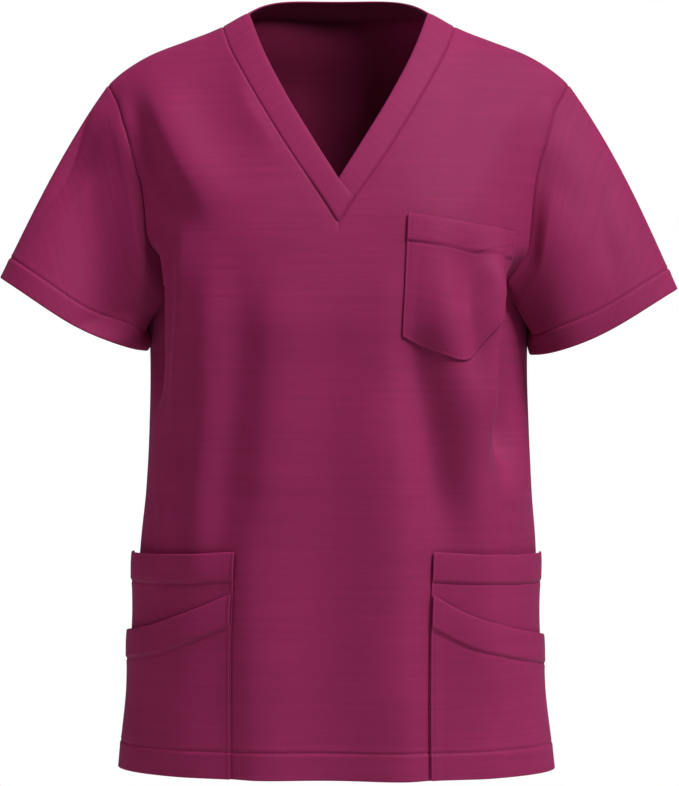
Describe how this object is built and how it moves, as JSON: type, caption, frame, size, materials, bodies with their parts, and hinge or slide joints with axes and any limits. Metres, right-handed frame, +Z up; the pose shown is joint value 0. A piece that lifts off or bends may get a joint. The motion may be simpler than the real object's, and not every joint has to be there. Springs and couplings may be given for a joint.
{
  "type": "medical scrub top",
  "caption": "Short-sleeved V-neck scrub top with a pointed chest pocket and layered lower patch pockets, filled out hollow as if worn.",
  "frame": {"origin": "on the mid line between the shoulders, level with the point where the shoulder seam meets the neckband", "axes": "+Z up, -Y out of the front, +X to the wearer's left"},
  "size_m": [0.5869, 0.2417, 0.6718],
  "materials": {
    "body_cloth": "fine woven berry-coloured cloth with a soft satin sheen",
    "band_cloth": "the same cloth, folded double as a neckband",
    "pocket_cloth": "the same cloth, with a topstitched folded band at the mouth"
  },
  "bodies": {
    "root": {"body_front": "body_cloth", "body_back": "body_cloth", "sleeve_left": "body_cloth", "sleeve_right": "body_cloth", "neckband_front_left": "band_cloth", "neckband_front_right": "band_cloth", "neckband_back": "band_cloth", "chest_pocket": "pocket_cloth", "pocket_tall_left": "pocket_cloth", "pocket_tall_right": "pocket_cloth", "pocket_slant_left": "pocket_cloth", "pocket_slant_right": "pocket_cloth"}
  },
  "joints": []
}
